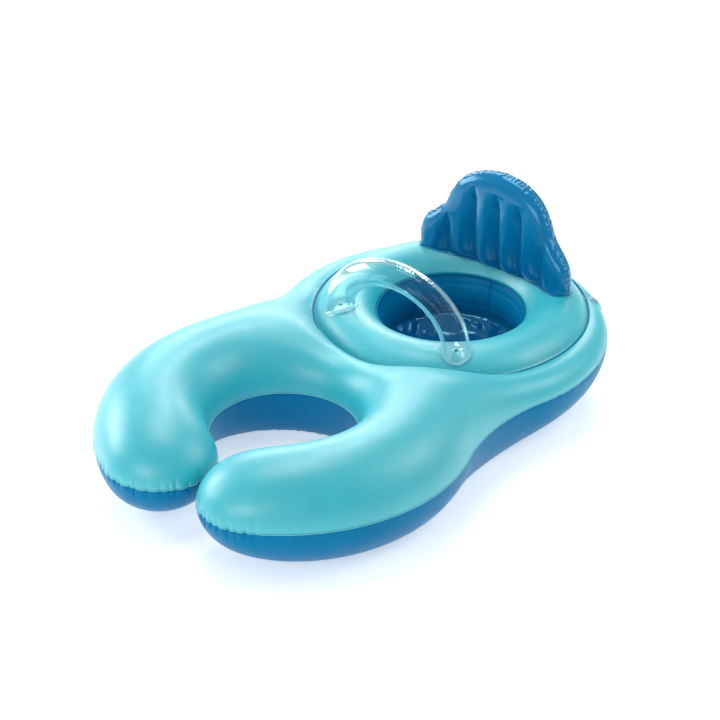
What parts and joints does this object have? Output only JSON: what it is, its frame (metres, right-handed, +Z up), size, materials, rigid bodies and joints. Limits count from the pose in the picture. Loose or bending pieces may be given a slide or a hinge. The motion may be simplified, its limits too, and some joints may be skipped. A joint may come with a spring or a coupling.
{
  "type": "inflatable swim float",
  "caption": "Inflatable parent-and-baby swim float: C-shaped parent ring with open arms, raised baby seat ring, backrest, clear grab handle and recessed valves.",
  "frame": {"origin": "bottom centre of the whole object's bounding box, on the floor", "axes": "+Z up, +Y from the parent's ring towards the baby's backrest, +X to the right seen from the parent's side"},
  "size_m": [0.6938, 1.0945, 0.3625],
  "materials": {
    "turquoise_vinyl": "satin, frosted translucent film",
    "ocean_blue_vinyl": "satin gloss film",
    "deep_blue_vinyl": "glossy film with puckered welds",
    "clear_vinyl": "glossy crystal-clear film",
    "valve_vinyl": "translucent moulded soft vinyl"
  },
  "bodies": {
    "float": {"float_top_sheet": "turquoise_vinyl", "float_bottom_sheet": "ocean_blue_vinyl", "ring_top_sheet": "turquoise_vinyl", "ring_partition_sheet": "ocean_blue_vinyl", "seat_well_wall": "ocean_blue_vinyl", "seat_sling": "deep_blue_vinyl", "leg_hole_hem_left": "ocean_blue_vinyl", "leg_hole_hem_right": "ocean_blue_vinyl", "handle_foot_weld_left": "clear_vinyl", "handle_foot_weld_right": "clear_vinyl", "float_valve_flange": "valve_vinyl", "ring_valve_flange": "valve_vinyl"},
    "backrest": {"backrest_front_panel": "deep_blue_vinyl", "backrest_rear_panel": "deep_blue_vinyl", "backrest_base_gusset": "deep_blue_vinyl", "backrest_valve_flange": "valve_vinyl"},
    "handle": {"handle_front_panel": "clear_vinyl", "handle_rear_panel": "clear_vinyl"},
    "float_valve_stem": {"float_valve_stem": "valve_vinyl", "float_valve_tether": "valve_vinyl"},
    "float_valve_plug": {"float_valve_plug": "valve_vinyl"},
    "float_valve_flap": {"float_valve_flap": "valve_vinyl"},
    "ring_valve_stem": {"ring_valve_stem": "valve_vinyl", "ring_valve_tether": "valve_vinyl"},
    "ring_valve_plug": {"ring_valve_plug": "valve_vinyl"},
    "ring_valve_flap": {"ring_valve_flap": "valve_vinyl"},
    "backrest_valve_stem": {"backrest_valve_stem": "valve_vinyl", "backrest_valve_tether": "valve_vinyl"},
    "backrest_valve_plug": {"backrest_valve_plug": "valve_vinyl"},
    "backrest_valve_flap": {"backrest_valve_flap": "valve_vinyl"}
  },
  "joints": [
    {"name": "backrest_tilt", "type": "hinge", "parent": "float", "child": "backrest", "pos_m": [0, 0.45383, 0.178], "axis": [-1, 0, 0], "range_deg": [-2.5, 12], "stiffness_Nm_per_rad": 3},
    {"name": "handle_sway", "type": "hinge", "parent": "float", "child": "handle", "pos_m": [0, 0.10283, 0.1728], "axis": [1, 0, 0], "range_deg": [-8, 8], "stiffness_Nm_per_rad": 1.5},
    {"name": "float_valve_pop_out", "type": "slide", "parent": "float", "child": "float_valve_stem", "axis": [0.2976, 0.4387, 0.8479], "range_m": [0, 0.01]},
    {"name": "float_valve_plug_pull", "type": "slide", "parent": "float_valve_stem", "child": "float_valve_plug", "axis": [0.2976, 0.4387, 0.8479], "range_m": [0, 0.012]},
    {"name": "float_valve_flap_swing", "type": "hinge", "parent": "float_valve_stem", "child": "float_valve_flap", "pos_m": [0.17751, 0.46704, 0.11466], "axis": [-0.476, -0.7017, 0.5301], "range_deg": [0, 40], "stiffness_Nm_per_rad": 0.0002},
    {"name": "ring_valve_pop_out", "type": "slide", "parent": "float", "child": "ring_valve_stem", "axis": [0.0321, 0.4085, 0.9122], "range_m": [0, 0.01]},
    {"name": "ring_valve_plug_pull", "type": "slide", "parent": "ring_valve_stem", "child": "ring_valve_plug", "axis": [0.0321, 0.4085, 0.9122], "range_m": [0, 0.012]},
    {"name": "ring_valve_flap_swing", "type": "hinge", "parent": "ring_valve_stem", "child": "ring_valve_flap", "pos_m": [0.00412, 0.4795, 0.15535], "axis": [-0.0716, -0.9094, 0.4098], "range_deg": [0, 40], "stiffness_Nm_per_rad": 0.0002},
    {"name": "backrest_valve_pop_out", "type": "slide", "parent": "backrest", "child": "backrest_valve_stem", "axis": [0, 1, 0], "range_m": [0, 0.01]},
    {"name": "backrest_valve_plug_pull", "type": "slide", "parent": "backrest_valve_stem", "child": "backrest_valve_plug", "axis": [0, 1, 0], "range_m": [0, 0.012]},
    {"name": "backrest_valve_flap_swing", "type": "hinge", "parent": "backrest_valve_stem", "child": "backrest_valve_flap", "pos_m": [0.0046, 0.44125, 0.262], "axis": [0, 0, 1], "range_deg": [0, 40], "stiffness_Nm_per_rad": 0.0002}
  ]
}
